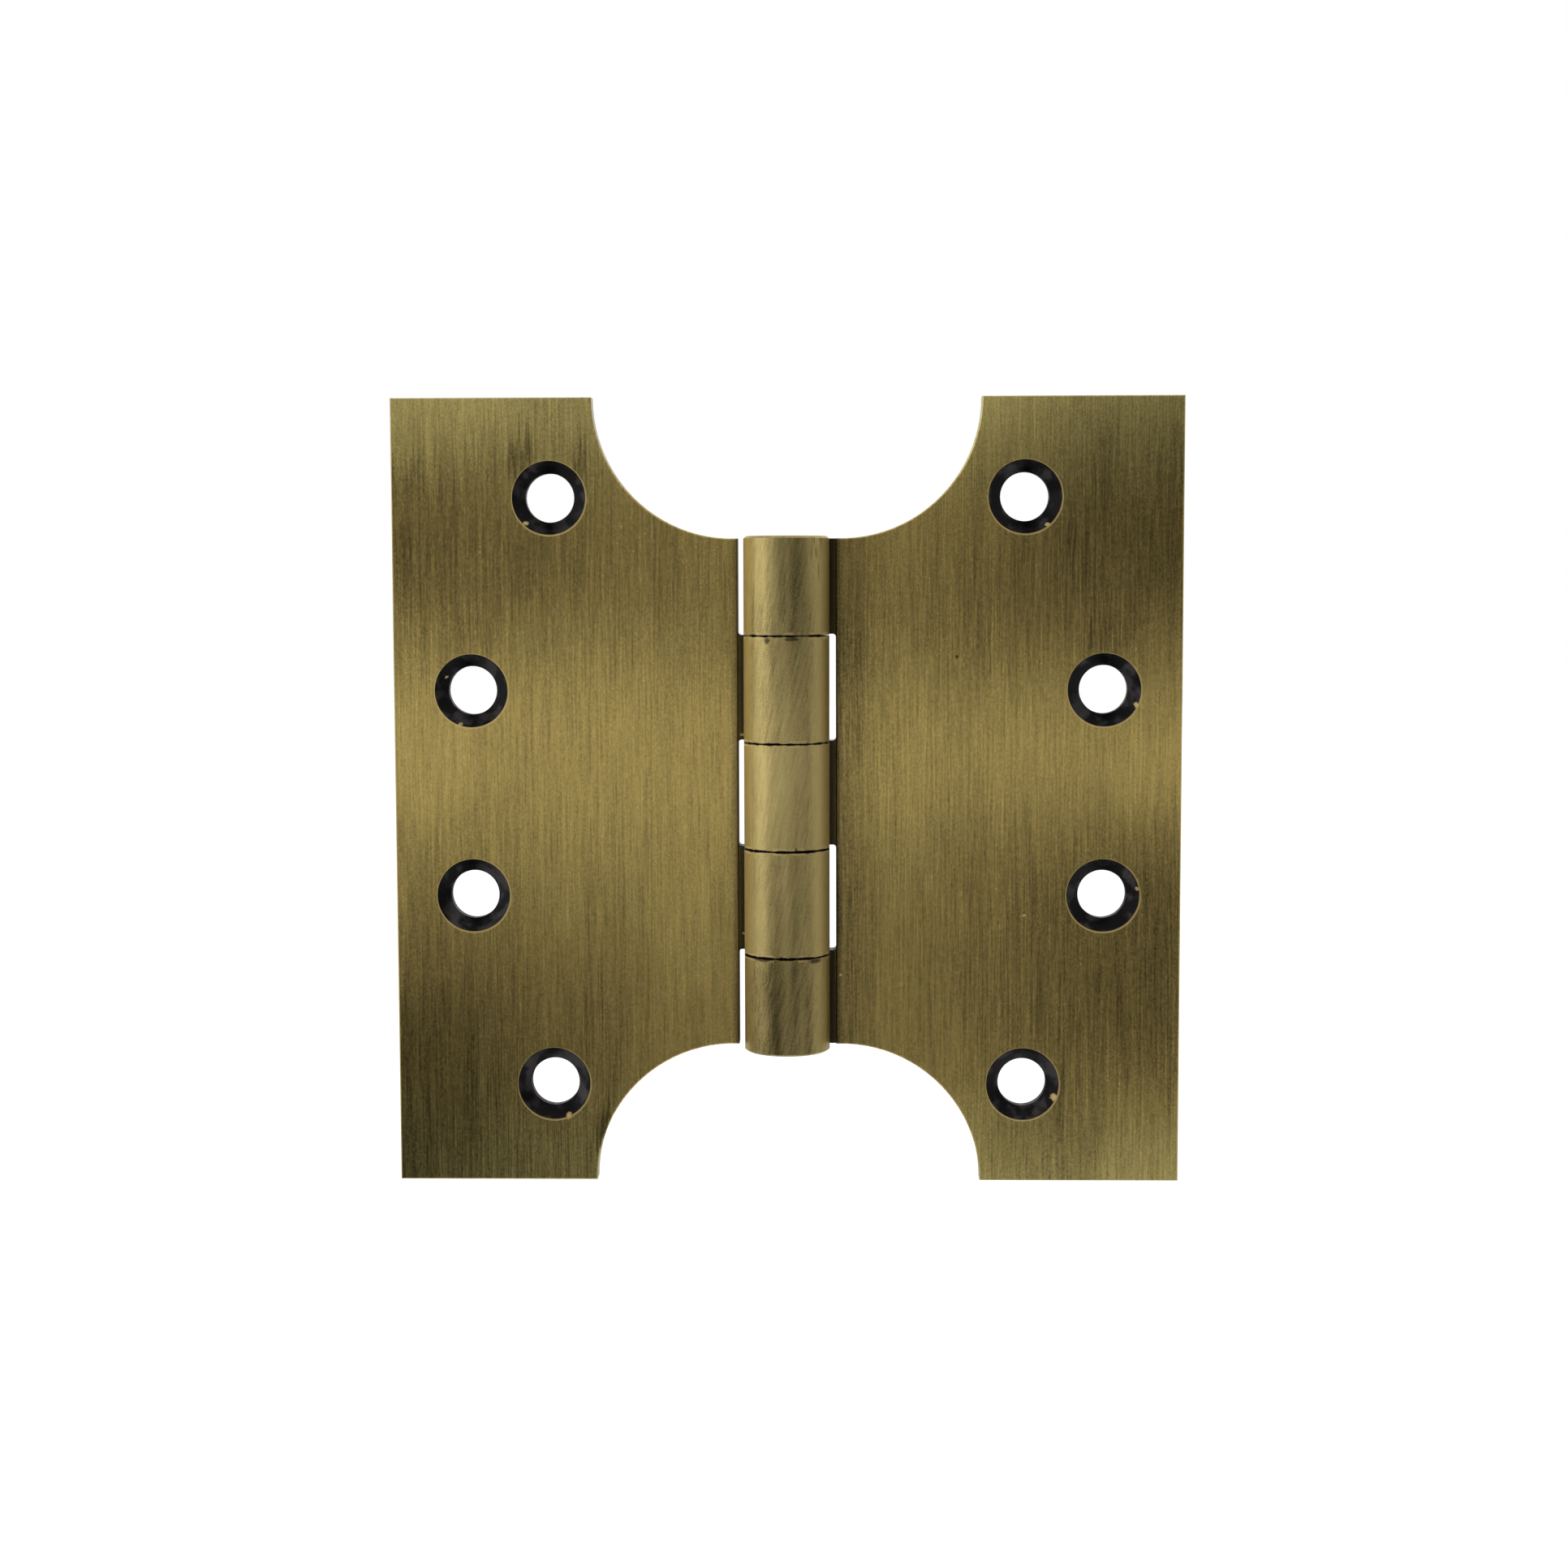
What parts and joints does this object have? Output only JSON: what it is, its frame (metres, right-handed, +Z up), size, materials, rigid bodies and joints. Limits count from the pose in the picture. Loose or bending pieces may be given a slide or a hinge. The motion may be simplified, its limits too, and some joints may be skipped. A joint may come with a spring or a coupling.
{
  "type": "parliament hinge",
  "caption": "Flat brass projection hinge with wide flag leaves, quarter-round bites at top and bottom, and a knuckled barrel on a steel pin.",
  "frame": {"origin": "middle of the pin's axis, which is the centre of the open hinge's box", "axes": "+Z up the pin, +X across the open leaves towards the frame leaf's long edge, -Y out of the faces that take the screw heads, the side the barrel stands on"},
  "size_m": [0.102, 0.011, 0.102],
  "materials": {
    "antique_brass": "darkened, then brushed along the pin and lacquered",
    "pin_steel": "ground, darkened at its ends"
  },
  "bodies": {
    "frame_side": {"frame_leaf": "antique_brass", "hinge_pin": "pin_steel"},
    "door_side": {"door_leaf": "antique_brass"}
  },
  "joints": [
    {"name": "leaf_hinge", "type": "hinge", "parent": "frame_side", "child": "door_side", "pos_m": [0, 0, 0], "axis": [0, 0, 1], "range_deg": [-95, 180]}
  ]
}
